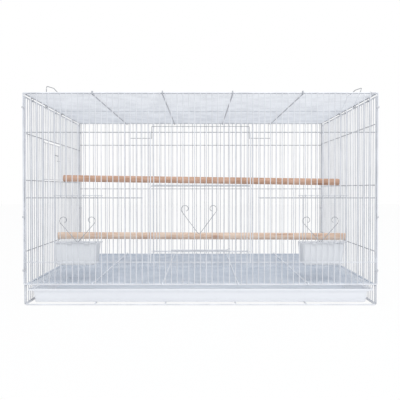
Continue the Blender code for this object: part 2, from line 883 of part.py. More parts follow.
def band(name, first, second, plane, middle, width, material):
    """A flat band closed round two wires side by side.

    First and second are the wires' (a, b) places in the band's plane, with a and b the two axes
    other than plane; middle and width place the band along plane.
    """
    off = half_border + clip_gap + clip_thickness / 2
    low = [min(first[i], second[i]) - off for i in range(2)]
    high = [max(first[i], second[i]) + off for i in range(2)]
    corners = [(low[0], low[1]), (high[0], low[1]), (high[0], high[1]), (low[0], high[1])]
    axes = [axis for axis in range(3) if axis != plane]
    centre = Vector((0, 0, 0))
    centre[axes[0]], centre[axes[1]], centre[plane] = (first[0] + second[0]) / 2, (first[1] + second[1]) / 2, middle
    path = []
    for a, b in corners:
        point = Vector((0, 0, 0))
        point[axes[0]], point[axes[1]] = a - centre[axes[0]], b - centre[axes[1]]
        path.append(point)
    facing = Vector((0, 0, 0))
    facing[axes[1]] = 1
    mesh = bmesh.new()
    add_wire(mesh, path, strip_section(clip_thickness, width), facing, closed=True)
    place(name, mesh, centre, material=material)


def corner_clips():
    """Bands that hold the front and back walls to the end walls at the four upright edges."""
    post_y = end_wall_half - half_border
    heights = [*corner_clip_low_places, wall_height - corner_clip_top_drop]
    for side, side_word in ((-1, "left"), (1, "right")):
        for end, end_word in ((-1, "front"), (1, "back")):
            wall, post = (side * side_plane, -end * front_plane), (side * side_plane, end * post_y)
            for place_word, z in zip(("low", "middle", "high"), heights):
                name = f"{end_word}_{side_word}_clip_{place_word}"
                band(name, wall, post, 2, z, corner_clip_height, zinc(name))


def top_clips():
    """Bands that hold the roof to the end walls, each between a bar of one and a wire of the other."""
    roof_z, wall_z = wall_height - half_border, side_top - half_border
    for side, side_word in ((-1, "left"), (1, "right")):
        for place_word, k in zip(("front", "middle", "back"), top_clip_bars):
            name = f"{side_word}_roof_clip_{place_word}"
            x = side * side_plane
            band(name, (x, wall_z), (x, roof_z), 1, pitch * (k + 0.25), top_clip_width, zinc(name))


def corner_sleeve():
    """The heavier clip that holds the roof to the front wall near the right corner."""
    z = wall_height - half_border
    roof_y = -(inner_half_depth - half_border)
    x = beside(whole_bars(half_width) - 1)
    band("corner_sleeve", (front_plane, z), (roof_y, z), 0, x, sleeve_width, zinc("corner_sleeve"))


def staple(name, centre, along, spread):
    """A strip bent over two square wires that stand on the ground, spread from middle to middle."""
    off = spread / 2 + half_border + clip_gap + clip_thickness / 2
    top = border_side + clip_gap + clip_thickness / 2
    across = Vector((0, 0, 1)).cross(along)
    foot = Vector((0, 0, base_clip_foot))
    path = [foot - off * across, Vector((0, 0, top)) - off * across]
    path += [Vector((0, 0, top)) + off * across, foot + off * across]
    mesh = bmesh.new()
    add_wire(mesh, path, strip_section(clip_thickness, base_clip_width), across)
    place(name, mesh, centre, material=zinc(name))


def base_clips():
    """Staples that hold the base frame to the end walls and the back wall."""
    spread = border_side + panel_gap
    for side, word in ((-1, "left"), (1, "right")):
        for place_word, k in zip(("front", "back"), base_clip_side_bars):
            centre = Vector((side * (side_plane - spread / 2), beside(k), 0))
            staple(f"{word}_base_clip_{place_word}", centre, Vector((0, 1, 0)), spread)
    for place_word, k in zip(("left", "right"), base_clip_back_bars):
        centre = Vector((beside(k), -front_plane - spread / 2, 0))
        staple(f"back_base_clip_{place_word}", centre, Vector((1, 0, 0)), spread)


def build():
    clear_scene()
    front_panel()
    back_panel()
    side_panels()
    top_panel()
    floor_grille()
    base_frame()
    centre_door()
    feeder_doors()
    nest_door()
    nest_door_hook()
    door_catch()
    tray()
    cup("left_cup", -1, cup_shifts[0])
    cup("right_cup", 1, cup_shifts[1])
    perches()
    handles()
    corner_clips()
    top_clips()
    corner_sleeve()
    base_clips()


build()
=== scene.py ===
import math

import bpy
import numpy as np
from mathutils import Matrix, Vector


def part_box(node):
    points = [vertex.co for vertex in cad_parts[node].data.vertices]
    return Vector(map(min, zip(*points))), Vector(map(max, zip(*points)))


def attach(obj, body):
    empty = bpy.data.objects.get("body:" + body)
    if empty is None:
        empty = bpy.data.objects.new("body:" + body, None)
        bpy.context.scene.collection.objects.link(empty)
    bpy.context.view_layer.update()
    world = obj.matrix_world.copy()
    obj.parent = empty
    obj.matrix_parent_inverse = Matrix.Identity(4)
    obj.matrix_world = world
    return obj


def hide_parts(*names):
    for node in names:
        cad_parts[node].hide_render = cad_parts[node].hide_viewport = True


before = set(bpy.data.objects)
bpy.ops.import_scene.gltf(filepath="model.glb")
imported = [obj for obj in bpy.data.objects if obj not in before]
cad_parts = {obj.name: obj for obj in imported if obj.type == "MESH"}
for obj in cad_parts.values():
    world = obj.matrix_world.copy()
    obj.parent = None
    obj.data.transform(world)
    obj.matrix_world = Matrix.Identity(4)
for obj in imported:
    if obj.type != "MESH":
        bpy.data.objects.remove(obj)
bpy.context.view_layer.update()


# Front wall
# A welded grille of 61 upright wires in a border, some cut away for three doorways, banded to the end
# walls. Mild steel in white powder coat; the border and the low cross wires wear a paler copy of it as
# painted light, and the high cross wires a grey copy as painted shade.

bar_pitch = 0.0125
bar_radius = 0.00095
bar_depth = 0.0005
bar_lean = 0.00018
weld = 0.0002  # how deep two welded wires are pressed into each other
rail_depth = bar_depth - 2 * bar_radius + weld
border_radius = 0.0015
corner_bend = 0.0022
leg_radius = 0.0012
leg_depth = rail_depth + bar_radius + leg_radius - weld
lap = 0.0012  # how far a wire's end passes the wire that it is welded to
seat = 0.0008  # how far a wire's end reaches into the border
end_inset = 2 * border_radius - seat
half_width = 0.381
wall_place = 0.227
wall_top = 0.457
front_foot = 0.0435
front_rails = (0.0926, 0.3715)
leg_place = 0.107
bars_each_way = 30
centre_last = 7  # the last bar cut at the centre doorway, counted from the middle
centre_sill, centre_lintel = 0.115, 0.2565
feeder_first, feeder_last = 18, 24
feeder_middle = (feeder_first + feeder_last) / 2 * bar_pitch
feeder_sill, feeder_lintel = 0.135, 0.231
lintel_start = 10  # the bar at which the feeder doorways' lintels start
wander = np.random.default_rng(7)


def placed(origin, right, outward, up):
    """Turns (along, out, up) of a wall into space: origin plus each amount times its direction."""
    axes = np.array((right, outward, up), float)

    def to_space(along, out, height):
        amounts = np.broadcast_arrays(np.asarray(along, float), out, height)
        return np.asarray(origin, float) + np.stack(amounts, -1) @ axes

    return to_space


def unit(vectors):
    """Each vector over its own length."""
    return vectors / np.linalg.norm(vectors, axis=-1, keepdims=True)


def circle(radius, sides):
    """Points (radius cos a, radius sin a) at even angles a."""
    a = np.arange(sides) * 2 * np.pi / sides
    return radius * np.stack((np.cos(a), np.sin(a)), -1)


def ring_faces(rings, sides, closed):
    """Faces of a skin: point (i, j) meets (i, j+1), (i+1, j+1), (i+1, j); flat ends unless closed."""
    i = np.arange(rings if closed else rings - 1)[:, None]
    j = np.arange(sides)[None, :]
    next_i, next_j = (i + 1) % rings, (j + 1) % sides
    corners = (i * sides + j, i * sides + next_j, next_i * sides + next_j, next_i * sides + j)
    faces = np.stack(corners, -1).reshape(-1, 4).tolist()
    if not closed:
        last = (rings - 1) * sides
        faces += [list(range(sides))[::-1], list(range(last, last + sides))]
    return faces


def carried(path, profile, across, closed=False):
    """Profile points (a, b) carried along a path: place plus a (across x heading), plus b (heading x
    that). The heading at a point is the mean of the runs before and after it.
    """
    path = np.asarray(path, float)
    if closed:
        run = unit(np.roll(path, -1, 0) - path)
        heading = unit(run + np.roll(run, 1, 0))
    else:
        run = unit(np.diff(path, axis=0))
        heading = unit(np.vstack((run[:1], run)) + np.vstack((run, run[-1:])))
    side = unit(np.cross(across, heading))
    other = np.cross(heading, side)
    skin = path[:, None] + profile[None, :, :1] * side[:, None] + profile[None, :, 1:] * other[:, None]
    return skin.reshape(-1, 3), ring_faces(len(path), len(profile), closed)


def rounded(points, reach, closed=False, steps=6):
    """A bent line: each corner P becomes (1-s)^2 A + 2s(1-s) P + s^2 B, with A and B a reach off it."""
    points = np.asarray(points, float)
    before, after = np.roll(points, 1, 0), np.roll(points, -1, 0)
    start = points + reach * unit(before - points)
    end = points + reach * unit(after - points)
    s = np.linspace(0, 1, steps)[None, :, None]
    bends = (1 - s) ** 2 * start[:, None] + 2 * s * (1 - s) * points[:, None] + s**2 * end[:, None]
    if closed:
        return bends.reshape(-1, 3)
    return np.vstack((points[:1], bends[1:-1].reshape(-1, 3), points[-1:]))


def wire(path, radius, closed=False, sides=12):
    """A round wire: a circle carried along a path, measured from a direction no wire here takes."""
    return carried(path, circle(radius, sides), unit(np.array((0.53, 0.61, 0.59))), closed)


def rods(starts, ends, radius, sides=10):
    """Many straight round wires: start or end, plus radius (cos a side + sin a other), for each."""
    starts, ends = np.broadcast_arrays(np.asarray(starts, float), np.asarray(ends, float))
    heading = unit(ends - starts)
    side = unit(np.cross(unit(np.array((0.53, 0.61, 0.59))), heading))
    other = np.cross(heading, side)
    spread = circle(radius, sides)
    ring = spread[None, :, :1] * side[:, None] + spread[None, :, 1:] * other[:, None]
    skin = np.stack((starts[:, None] + ring, ends[:, None] + ring), 1)
    one = ring_faces(2, sides, False)
    faces = [[index + 2 * sides * n for index in face] for n in range(len(starts)) for face in one]
    return skin.reshape(-1, 3), faces


def together(*parts):
    """Several (points, faces) as one, the later faces counted on past the earlier points."""
    points, faces, count = [], [], 0
    for more, their_faces in parts:
        points.append(more)
        faces += [[index + count for index in face] for face in their_faces]
        count += len(more)
    return np.vstack(points), faces


def piece(name, part, body, material, nodes, crease=35):
    """A mesh piece with its finish, smooth except along edges sharper than the crease."""
    points, faces = part
    mesh = bpy.data.meshes.new(name)
    mesh.from_pydata(points.tolist(), [], faces)
    mesh.materials.append(material)
    mesh.shade_smooth()
    mesh.set_sharp_from_angle(angle=math.radians(crease))
    item = bpy.data.objects.new(name, mesh)
    bpy.context.collection.objects.link(item)
    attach(item, body)
    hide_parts(*nodes)
    return item


def node_of(tree, kind, **settings):
    """A shader node with its plain settings; a socket is named with spaces as underscores."""
    node = tree.nodes.new(kind)
    for key, value in settings.items():
        if hasattr(node, key):
            setattr(node, key, value)
        else:
            node.inputs[key.replace("_", " ")].default_value = value
    return node


def finish(name):
    """A new material's tree, its surface shader, and its Object coordinates."""
    material = bpy.data.materials.new(name)
    material.use_nodes = True
    tree = material.node_tree
    place = node_of(tree, "ShaderNodeTexCoord").outputs["Object"]
    return material, tree, tree.nodes["Principled BSDF"], place


def noise(tree, place, scale, detail=3.0, stretch=(1, 1, 1)):
    """Soft noise at a scale in waves per metre, stretched along an axis by a small factor there."""
    turn = node_of(tree, "ShaderNodeMapping")
    turn.inputs["Scale"].default_value = stretch
    tree.links.new(place, turn.inputs["Vector"])
    cloud = node_of(tree, "ShaderNodeTexNoise", Scale=scale, Detail=detail)
    tree.links.new(turn.outputs["Vector"], cloud.inputs["Vector"])
    return cloud.outputs["Fac"]


def graded(tree, amount, stops):
    """A colour or grey for each amount, even between the stops (amount, (r, g, b))."""
    ramp = node_of(tree, "ShaderNodeValToRGB")
    elements = ramp.color_ramp.elements
    while len(elements) < len(stops):
        elements.new(0.5)
    for element, (position, colour) in zip(elements, stops):
        element.position = position
        element.color = (*colour, 1)
    tree.links.new(amount, ramp.inputs["Fac"])
    return ramp.outputs["Color"]


def dented(tree, surface, amounts):
    """Bumps laid over each other, each an (amount, height in metres, strength)."""
    normal = None
    for amount, height, strength in amounts:
        bump = node_of(tree, "ShaderNodeBump", Strength=strength, Distance=height)
        tree.links.new(amount, bump.inputs["Height"])
        if normal:
            tree.links.new(normal, bump.inputs["Normal"])
        normal = bump.outputs["Normal"]
    tree.links.new(normal, surface.inputs["Normal"])


def ranged(tree, amount, low, high, to_low, to_high):
    """Amount moved from one range to another, held at its ends."""
    node = node_of(tree, "ShaderNodeMapRange")
    for key, value in (("From Min", low), ("From Max", high), ("To Min", to_low), ("To Max", to_high)):
        node.inputs[key].default_value = value
    tree.links.new(amount, node.inputs["Value"])
    return node.outputs["Result"]


bare_steel = (0.36, 0.37, 0.39)


def powder_coat(name, colour, thin):
    """White coat over steel: thin greyer patches, tiny chips down to the steel, and orange peel."""
    material, tree, surface, place = finish(name)
    patches = noise(tree, place, 26, 4)
    coat = graded(tree, patches, ((0.35, thin), (0.62, colour)))
    chips = noise(tree, place, 420, 2)
    chipped = ranged(tree, chips, 0.745, 0.765, 0, 1)
    mix = node_of(tree, "ShaderNodeMix", data_type="RGBA")
    tree.links.new(chipped, mix.inputs["Factor"])
    tree.links.new(coat, mix.inputs["A"])
    mix.inputs["B"].default_value = (*bare_steel, 1)
    tree.links.new(mix.outputs["Result"], surface.inputs["Base Color"])
    tree.links.new(ranged(tree, patches, 0.3, 0.7, 0.5, 0.33), surface.inputs["Roughness"])
    peel = noise(tree, place, 1500, 2)
    dented(tree, surface, ((peel, 0.00005, 0.35), (chips, 0.00008, 0.2)))
    return material


front_coat = powder_coat("front_coat", (0.76, 0.77, 0.80), (0.66, 0.67, 0.70))
# A paler copy of the white coat: painted light, where the lowest wires catch the floor's light.
painted_light_coat = powder_coat("painted_light_coat", (0.82, 0.83, 0.86), (0.72, 0.73, 0.76))
# A grey copy of the same white coat: painted shade on cross wires and borders.
painted_shade_coat = powder_coat("painted_shade_coat", (0.44, 0.45, 0.48), (0.36, 0.37, 0.40))


def upright_rows(to_space, count, low, high, openings=()):
    """Starts and ends of a wall's upright wires, at whole pitches, broken at each opening."""
    spans = []
    for k in range(-count, count + 1):
        ends = [low, high]
        for first, last, sill, lintel in openings:
            if first <= k <= last:
                ends[1:1] = [sill + lap, lintel - lap]
        spans += [(k * bar_pitch, bottom, top) for bottom, top in zip(ends[::2], ends[1::2])]
    along, bottom, top = np.array(spans).T
    lean = wander.normal(0, bar_lean, (2, len(along)))
    return to_space(along + lean[0], bar_depth, bottom), to_space(along + lean[1], bar_depth, top)


def level_rows(to_space, spans, depth=rail_depth):
    """Starts and ends of a wall's cross wires, each a (height, from, to)."""
    height, left, right = np.array(spans).T
    return to_space(left, depth, height), to_space(right, depth, height)


def border(to_space, half, low, high):
    """The border wire's closed line, bent at the corners, half wide each way."""
    x, bottom, top = half - border_radius, low + border_radius, high - border_radius
    corners = to_space([-x, x, x, -x], 0, [bottom, bottom, top, top])
    return wire(rounded(corners, corner_bend, closed=True), border_radius, closed=True, sides=14)


front = placed((0, -wall_place, 0), (1, 0, 0), (0, -1, 0), (0, 0, 1))
reach = half_width - end_inset
feeder_gap = ((feeder_first - 1) * bar_pitch - lap, (feeder_last + 1) * bar_pitch + lap)
low_spans = [(front_rails[0], -reach, reach), (centre_sill, -leg_place - lap, leg_place + lap)]
high_spans = [(front_rails[1], -reach, reach), (centre_lintel, -leg_place - lap, leg_place + lap)]
for side in (-1, 1):
    high_spans.append((feeder_lintel, side * (lintel_start * bar_pitch - lap), side * reach))
    low_spans.append((feeder_sill, side * feeder_gap[0], side * feeder_gap[1]))
doorways = [(-centre_last, centre_last, centre_sill, centre_lintel)]
for first, last in ((feeder_first, feeder_last), (-feeder_last, -feeder_first)):
    doorways.append((first, last, feeder_sill, feeder_lintel))
legs = front([-leg_place, leg_place], leg_depth, front_rails[0] - lap)
leg_tops = front([-leg_place, leg_place], leg_depth, front_rails[1] + lap)
bar_rows = upright_rows(front, bars_each_way, front_foot + end_inset, wall_top - end_inset, doorways)
front_bars = together(rods(*bar_rows, bar_radius), rods(legs, leg_tops, leg_radius, 12))
front_frame = together(
    border(front, half_width, front_foot, wall_top),
    rods(*level_rows(front, low_spans), bar_radius),
)
front_cross = rods(*level_rows(front, high_spans), bar_radius)
piece("front_wall_bars", front_bars, "cage", front_coat, ["front_panel"])
piece("front_wall_border", front_frame, "cage", painted_light_coat, ["front_panel"])
piece("front_wall_cross_wires", front_cross, "cage", painted_shade_coat, ["front_panel"])


# Back wall
# A grille like the front's, without doorways, down to the ground. Its bars wear a darker copy of the
# white coat and its border the grey copy, both painted shade.
# A heavier cross wire near its foot carries the hooks of the floor grille.

carrier_radius = 0.0011
carrier_depth = bar_depth - bar_radius - carrier_radius + weld / 2
back_rails = (0.250, 0.387)
back_carrier = 0.045
back = placed((0, wall_place, 0), (-1, 0, 0), (0, 1, 0), (0, 0, 1))
# A darker copy of the white coat: painted shade on the back and end walls' bars.
shaded_wall_coat = powder_coat("shaded_wall_coat", (0.67, 0.685, 0.72), (0.57, 0.585, 0.62))
back_bars = rods(*upright_rows(back, bars_each_way, end_inset, wall_top - end_inset), bar_radius)
back_cross = together(
    border(back, half_width, 0, wall_top),
    rods(*level_rows(back, [(z, -reach, reach) for z in back_rails]), bar_radius),
    rods(*level_rows(back, [(back_carrier, -reach, reach)], carrier_depth), carrier_radius, 12),
)
piece("back_wall_bars", back_bars, "cage", shaded_wall_coat, ["back_panel"])
piece("back_wall_border", back_cross, "cage", painted_shade_coat, ["back_panel"])


# End walls
# Welded and coated grilles between the front and back walls. The left one has a doorway for a nest
# box, between two of its cross wires. The right one is plain, with its cross wires at other heights.

end_half = 0.2237
end_top = 0.4505
end_place = 0.3795
end_carrier = 0.041
end_bars_each_way = 17
end_reach = end_half - end_inset
nest_first, nest_last = -2, 7
nest_sill, nest_lintel = 0.269, 0.370
left_rails = (0.115, nest_sill, nest_lintel)
right_rails = (0.115, 0.2585, 0.390)
nest_doorway = (nest_first, nest_last, nest_sill, nest_lintel)
left = placed((-end_place, 0, 0), (0, -1, 0), (-1, 0, 0), (0, 0, 1))
right = placed((end_place, 0, 0), (0, 1, 0), (1, 0, 0), (0, 0, 1))


def end_cross_wires(to_space, rails):
    """An end wall's cross wires and the heavier wire at its foot."""
    spans = [(z, -end_reach, end_reach) for z in rails]
    foot = [(end_carrier, -end_reach, end_reach)]
    return together(
        rods(*level_rows(to_space, spans), bar_radius),
        rods(*level_rows(to_space, foot, carrier_depth), carrier_radius, 12),
    )


end_walls = (("left", left, left_rails, [nest_doorway]), ("right", right, right_rails, []))
for name, to_space, rails, openings in end_walls:
    bar_rows = upright_rows(to_space, end_bars_each_way, end_inset, end_top - end_inset, openings)
    bars = together(border(to_space, end_half, 0, end_top), rods(*bar_rows, bar_radius))
    cross_wires = end_cross_wires(to_space, rails)
    node = name + "_side_panel"
    # The bars take the darker copy's painted shade, the cross wires the grey copy's.
    piece(name + "_wall_bars", bars, "cage", shaded_wall_coat, [node])
    piece(name + "_wall_cross_wires", cross_wires, "cage", painted_shade_coat, [node])


# Roof
# Close wires along the cage in a border, spot welded onto four heavier wires that cross under them.
# The heavier wires' ends are bent up outside the front and back walls and back over both borders.

roof_middle = 0.4555
roof_half = 0.2251
rows_each_way = 18
middle_wire_drop = 0.00075
cross_radius = 0.0013
cross_drop = 0.00265
wrap_height = 0.0031
wrap_place = 0.2301
wrap_tip = 0.0012
wrap_bend = 0.0009
roof_slope = (0.0046, 0.0066)  # where a heavier wire goes down to pass the border, in from the border
roof_cross_places = (-0.23125, -0.08125, 0.06875, 0.21875)


def lying_border(half_along, half_across, middle):
    """The border of a flat grille at a height, bent at the corners."""
    x, y = half_along - border_radius, half_across - border_radius
    corners = np.array(((-x, -y, middle), (x, -y, middle), (x, y, middle), (-x, y, middle)))
    return wire(rounded(corners, corner_bend, closed=True), border_radius, closed=True, sides=14)


def lying_wires(half_along, middle):
    """The 36 wires along a flat grille at a height, and the heavier one in its middle."""
    flat = placed((0, 0, middle), (0, 1, 0), (0, 0, 1), (1, 0, 0))
    rows = (np.arange(-rows_each_way, rows_each_way) + 0.5) * bar_pitch
    ends = half_along - end_inset
    return together(
        rods(flat(rows, -bar_depth, -ends), flat(rows, -bar_depth, ends), bar_radius),
        rods(flat([0], -middle_wire_drop, -ends), flat([0], -middle_wire_drop, ends), leg_radius),
    )


def crossing(middle, place, half_line):
    """A wire from front to back: half its (across, up) line and that half mirrored, bends rounded."""
    across, up = np.array(half_line).T
    flat = placed((0, 0, middle), (0, 1, 0), (0, 0, 1), (1, 0, 0))
    line = flat(np.concatenate((-across, across[::-1])), np.concatenate((up, up[::-1])), place)
    return wire(rounded(line, wrap_bend, steps=5), cross_radius)


roof_coat = powder_coat("roof_coat", (0.78, 0.80, 0.84), (0.67, 0.69, 0.73))
# A grey copy of the white coat: painted shade on the heavier wires under the roof.
shaded_roof_cross_coat = powder_coat("shaded_roof_cross_coat", (0.50, 0.51, 0.54), (0.42, 0.43, 0.46))
over_border = roof_half - border_radius
wrap = [(over_border, wrap_tip), (over_border, wrap_height), (wrap_place, wrap_height)]
wrap += [(wrap_place, -wrap_height), (roof_half - roof_slope[0], -wrap_height)]
wrap += [(roof_half - roof_slope[1], -cross_drop)]
roof_crossings = together(*[crossing(roof_middle, x, wrap) for x in roof_cross_places])
roof_border = lying_border(half_width, roof_half, roof_middle)
roof_wires = lying_wires(half_width, roof_middle)
piece("roof_wires", roof_wires, "cage", roof_coat, ["top_panel"])
# The border wears the grey copy of the coat, painted shade.
piece("roof_border", roof_border, "cage", painted_shade_coat, ["top_panel"])
piece("roof_cross_wires", roof_crossings, "cage", shaded_roof_cross_coat, ["top_panel"])


# Floor grille
# Close wires in a border like the roof's, but under the heavier wires, laid over the tray. The heavier
# wires' hooks lie over the front wall's bottom wire and the back wall's heavier cross wire.

grille_long = 0.37625
grille_half = 0.22375
grille_middle = 0.045
hook_tip = 0.0003
grille_slope = (0.0012, 0.0034)  # where a heavier wire comes down from its hook, in from the border
grille_cross_places = (-0.23125, -0.08125, 0.08125, 0.23125)
over_wires = bar_radius - bar_depth + cross_radius - weld / 2
hooked = [(wrap_place, hook_tip), (wrap_place, wrap_height)]
hooked += [(grille_half - grille_slope[0], wrap_height), (grille_half - grille_slope[1], over_wires)]
# A bluish grey copy of the white coat: painted shade on the floor grille inside the cage.
shaded_floor_grille_coat = powder_coat("shaded_floor_grille_coat", (0.70, 0.74, 0.80), (0.58, 0.63, 0.70))
# A paler copy of the white coat: painted light, so the heavier wires show no darker than the grille.
lit_floor_cross_coat = powder_coat("lit_floor_cross_coat", (0.86, 0.89, 0.93), (0.78, 0.81, 0.86))
grille_border = lying_border(grille_long, grille_half, grille_middle)
grille = together(grille_border, lying_wires(grille_long, grille_middle))
grille_crossings = together(*[crossing(grille_middle, x, hooked) for x in grille_cross_places])
piece("floor_grille_wires", grille, "cage", shaded_floor_grille_coat, ["floor_grille"])
piece("floor_cross_wires", grille_crossings, "cage", lit_floor_cross_coat, ["floor_grille"])


# Base frame
# Thick wires welded flat on the ground under the tray, which slides over them.
# Staples hold the frame to the end walls and the back wall.

base_x = 0.3761
base_front, base_back = -wall_place, 0.2236
base_bend = 0.003
fifths = (-0.2286, -0.0762, 0.0762, 0.2286)
base_plan = ((-base_x, base_front), (base_x, base_front), (base_x, base_back), (-base_x, base_back))
base_corners = np.column_stack((base_plan, np.full(4, border_radius)))
base_starts = [(x, base_front, border_radius) for x in fifths] + [(-base_x, 0, border_radius)]
base_ends = [(x, base_back, border_radius) for x in fifths] + [(base_x, 0, border_radius)]
base = together(
    wire(rounded(base_corners, base_bend, closed=True), border_radius, closed=True, sides=14),
    rods(base_starts, base_ends, border_radius, 14),
)
# The base wires wear the paler copy of the white coat, painted light.
piece("base_wires", base, "cage", painted_light_coat, ["base_frame"])


# Centre door
# Upright wires welded on two cross wires, whose ends are bent round the wall's bars to slide on them.
# A V of two scrolls is welded outside, and a straight bar to lift the door by.

door_radius = 0.0008
slack = 0.0004  # the room between a door's wires and the bars
door_depth = bar_depth + bar_radius + slack + door_radius
door_bar_depth = door_depth + 2 * door_radius - weld
door_lean = 0.00012
hook_side = bar_radius + slack + door_radius
hook_back = bar_depth - hook_side
hook_length = 0.0014
hook_bend = 0.0012
scroll_radius = 0.0007
scroll_depth = door_bar_depth + door_radius + scroll_radius - weld
stem_start = 0.0012
curl_place = 0.029
curl_wide, curl_tight = 0.0095, 0.0045
curl_turn = math.radians(290)
sill_gap = 0.00215
centre_door_top = 0.25865
centre_stem_foot, centre_curl_height = 0.154, 0.2075
centre_scroll_shift = -0.003
lift_radius = 0.0012
lift_left, lift_turn, lift_tip = -0.0615, 0.0555, 0.0615
lift_height, lift_rise = 0.1196, 0.0030
lift_bend = 0.002
# A darker copy of the white coat: painted shade on the doors' thin wires.
shaded_door_coat = powder_coat("shaded_door_coat", (0.66, 0.67, 0.70), (0.56, 0.57, 0.60))
# A grey copy of the white coat: painted shade on the thin wires of the scrolls and the catch.
shaded_scroll_coat = powder_coat("shaded_scroll_coat", (0.42, 0.43, 0.45), (0.34, 0.35, 0.37))


def door_rail(to_space, height, left_end, right_end, hooked=(True, True)):
    """A door's cross wire along its wall, turned round the guide bar at each hooked end."""
    line = [(left_end, door_depth), (right_end, door_depth)]
    if hooked[0]:
        edge = left_end - hook_side
        line[:1] = [(left_end + hook_length, hook_back), (edge, hook_back), (edge, door_depth)]
    if hooked[1]:
        edge = right_end + hook_side
        line[-1:] = [(edge, door_depth), (edge, hook_back), (right_end - hook_length, hook_back)]
    along, out = np.array(line).T
    return wire(rounded(to_space(along, out, height), hook_bend, steps=5), door_radius, sides=10)


def door_uprights(to_space, first, last, bottom, top):
    """A door's uprights, one at each bar of the doorway and one at each edge, half a pitch beyond."""
    along = np.concatenate((np.arange(first, last + 1), (first - 0.5, last + 0.5))) * bar_pitch
    lean = wander.normal(0, door_lean, (2, len(along)))
    low = to_space(along + lean[0], door_bar_depth, bottom - lap)
    high = to_space(along + lean[1], door_bar_depth, top + lap)
    return rods(low, high, door_radius)


def scroll(to_space, middle, side, foot, curl_height):
    """A stem tangent to a curl whose radius falls evenly from wide to tight over the curl's turn."""
    start = np.array((stem_start, foot))
    centre = np.array((curl_place, curl_height))
    away = centre - start
    heading = math.atan2(away[1], away[0]) - math.asin(curl_wide / math.hypot(*away))
    share = np.linspace(0, 1, 40)
    angle = heading - math.pi / 2 + curl_turn * share
    radius = curl_wide - (curl_wide - curl_tight) * share
    curl = centre + radius[:, None] * np.stack((np.cos(angle), np.sin(angle)), -1)
    line = np.vstack((start, curl))
    return wire(to_space(middle + side * line[:, 0], scroll_depth, line[:, 1]), scroll_radius, sides=8)


bottom, top = centre_sill + sill_gap, centre_door_top
guide = (centre_last + 1) * bar_pitch
lift_depth = door_bar_depth + door_radius + lift_radius - weld
lift_heights = [lift_height, lift_height, lift_height + lift_rise]
lift_line = front([lift_left, lift_turn, lift_tip], lift_depth, lift_heights)
centre_door = together(
    door_rail(front, bottom, -guide, guide),
    door_rail(front, top, -guide, guide),
    door_uprights(front, -centre_last, centre_last, bottom, top),
    wire(rounded(lift_line, lift_bend), lift_radius),
)
centre_scrolls = together(*[
    scroll(front, centre_scroll_shift, way, centre_stem_foot, centre_curl_height) for way in (-1, 1)
])
piece("centre_door_wires", centre_door, "centre_door", shaded_door_coat, ["centre_door"])
piece("centre_door_scrolls", centre_scrolls, "centre_door", shaded_scroll_coat, ["centre_door"])


# Feeder doors
# Two smaller sliding doors over the cups, made like the centre door, each with its own V of scrolls.
# The right one's scrolls are welded on a little nearer to the middle of the cage.

feeder_door_top = 0.236
feeder_stem_foot, feeder_curl_height = 0.1372, 0.183
bottom, top = feeder_sill + sill_gap, feeder_door_top
for name, side, shift in (("left_feeder_door", -1, 0), ("right_feeder_door", 1, -0.006)):
    first, last = sorted((side * feeder_first, side * feeder_last))
    middle = side * feeder_middle + shift
    door = together(
        door_rail(front, bottom, (first - 1) * bar_pitch, (last + 1) * bar_pitch),
        door_rail(front, top, (first - 1) * bar_pitch, (last + 1) * bar_pitch),
        door_uprights(front, first, last, bottom, top),
    )
    scrolls = together(*[
        scroll(front, middle, way, feeder_stem_foot, feeder_curl_height) for way in (-1, 1)
    ])
    piece(name + "_wires", door, name, shaded_door_coat, [name])
    piece(name + "_scrolls", scrolls, name, shaded_scroll_coat, [name])


# Nest door
# A wire door in the left wall, hung by two eyes on the bar at its front edge.
# A small bent wire on it snaps over the first fixed bar to keep it shut.

nest_low, nest_high = 0.2735, 0.364
free_edge = (nest_first - 0.5) * bar_pitch - lap
hinge_bar = (nest_last + 1) * bar_pitch
nest_door = together(
    door_rail(left, nest_low, free_edge, hinge_bar, (False, True)),
    door_rail(left, nest_high, free_edge, hinge_bar, (False, True)),
    door_uprights(left, nest_first, nest_last, nest_low, nest_high),
)
piece("nest_door_wires", nest_door, "nest_door", shaded_door_coat, ["nest_door"])


# Hook of the nest door
# Zinc-plated wire, bent in a crank: its upper arm hangs behind the door's wires, and the lower one
# lies outside them.


def zinc_plate(name, colour, dark, grain=520):
    """Zinc plate: dull crystals of slightly different greys, rubbed brighter in broad patches."""
    material, tree, surface, place = finish(name)
    crystals = node_of(tree, "ShaderNodeTexVoronoi", Scale=grain)
    tree.links.new(place, crystals.inputs["Vector"])
    rub = noise(tree, place, 60, 3)
    grey = node_of(tree, "ShaderNodeMath", operation="ADD")
    tree.links.new(crystals.outputs["Distance"], grey.inputs[0])
    tree.links.new(rub, grey.inputs[1])
    zinc = graded(tree, grey.outputs["Value"], ((0.5, dark), (1.0, colour)))
    tree.links.new(zinc, surface.inputs["Base Color"])
    tree.links.new(ranged(tree, rub, 0.3, 0.7, 0.5, 0.28), surface.inputs["Roughness"])
    surface.inputs["Metallic"].default_value = 0.75
    dented(tree, surface, ((crystals.outputs["Distance"], 0.00004, 0.25),))
    return material


hook_zinc = zinc_plate("hook_zinc", (0.22, 0.24, 0.27), (0.14, 0.15, 0.18))
hook_radius = 0.0007
hook_play = 0.0002
crank_bend = 0.0011
arm_step = door_radius + hook_radius + hook_play
inside, outside = door_bar_depth - arm_step, door_bar_depth + arm_step
arm_high, arm_low = 0.338, 0.3245
arm_end, crank, arm_tip = 0.0085, -0.01875, -0.04375
tip_turn = 0.0025
hook_line = left(
    [arm_end, crank, crank, crank, arm_tip, arm_tip],
    [inside, inside, outside, outside, outside, outside - tip_turn],
    [arm_high, arm_high, arm_high, arm_low, arm_low, arm_low],
)
hook = wire(rounded(hook_line, crank_bend, steps=5), hook_radius, sides=10)
piece("nest_door_hook_wire", hook, "nest_door_hook", hook_zinc, ["nest_door_hook"])


